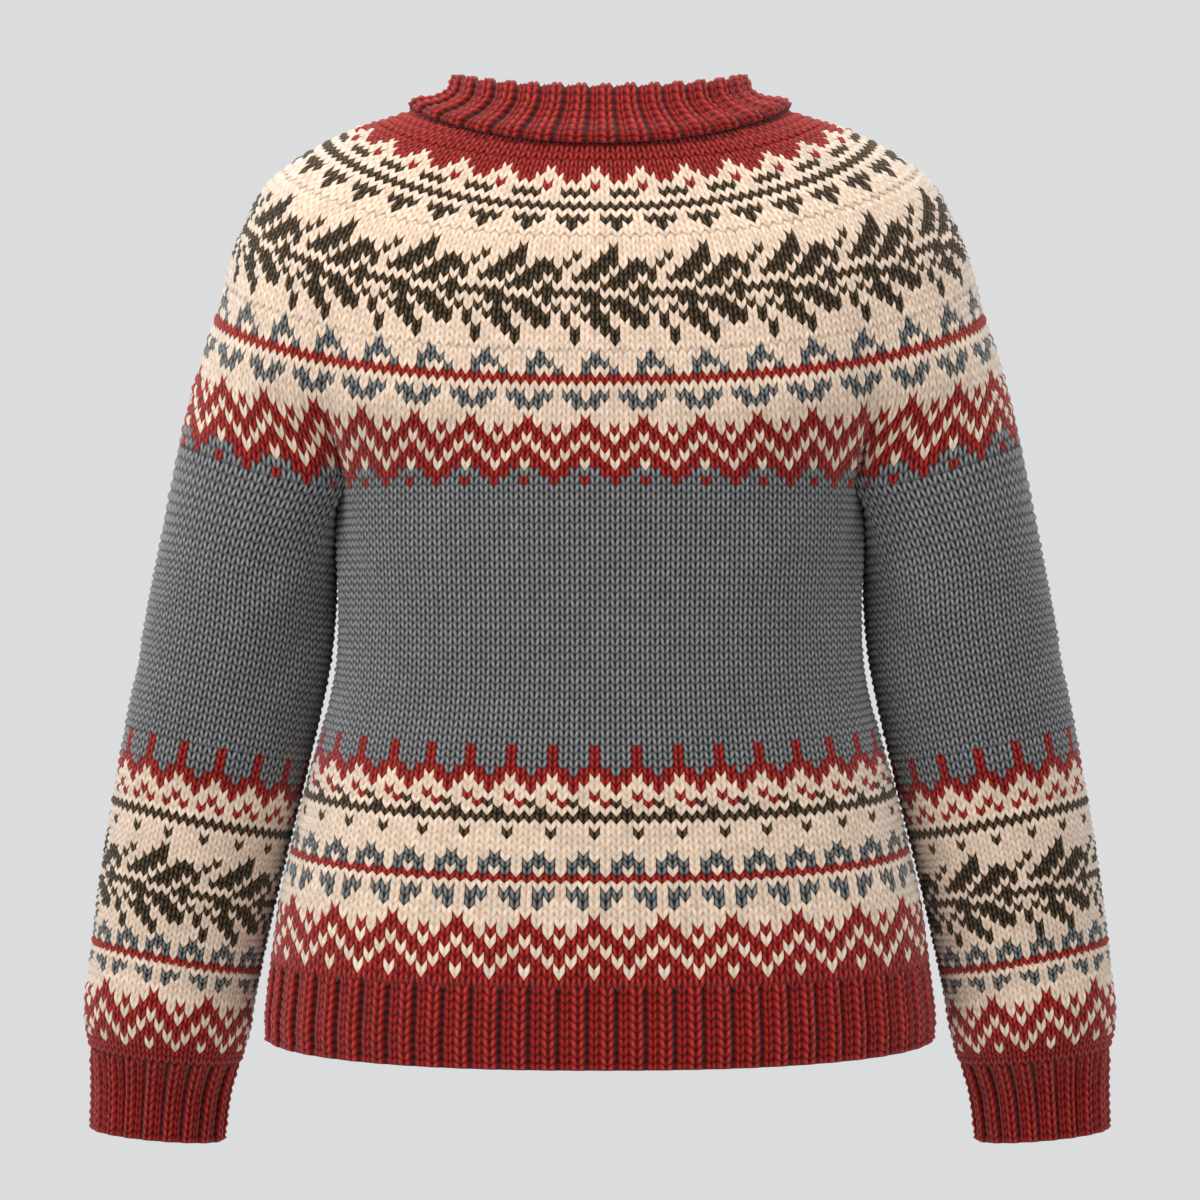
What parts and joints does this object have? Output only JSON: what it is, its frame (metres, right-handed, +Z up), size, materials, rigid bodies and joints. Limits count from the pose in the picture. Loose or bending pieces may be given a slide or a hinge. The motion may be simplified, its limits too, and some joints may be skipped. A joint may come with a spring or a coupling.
{
  "type": "fair isle cardigan",
  "caption": "Buttoned wool yoke cardigan with stranded colour bands, folded ribbed collar and ribbed hem and cuffs, hollow as worn.",
  "frame": {"origin": "base of the neck, level with the top of the shoulders, on the garment's middle plane", "axes": "+Z up, -Y out of the buttoned front, +X towards the wearer's left arm"},
  "size_m": [0.6738, 0.2489, 0.6951],
  "materials": {
    "patterned_wool": "stranded stocking stitch in cream, red, grey and brown wool, matt with a slight halo",
    "red_rib": "two by two ribbing in heathered red wool, matt",
    "buttons": "dark brown horn look, softly polished"
  },
  "bodies": {
    "root": {"back": "patterned_wool", "front_left": "patterned_wool", "front_right": "patterned_wool", "yoke": "patterned_wool", "sleeve_left": "patterned_wool", "sleeve_right": "patterned_wool", "hem_back": "red_rib", "hem_front_left": "red_rib", "hem_front_right": "red_rib", "cuff_left": "red_rib", "cuff_right": "red_rib", "collar": "red_rib", "band_left": "red_rib", "band_right": "red_rib", "button_1": "buttons", "button_2": "buttons", "button_3": "buttons", "button_4": "buttons", "button_5": "buttons", "button_6": "buttons", "button_7": "buttons"}
  },
  "joints": []
}
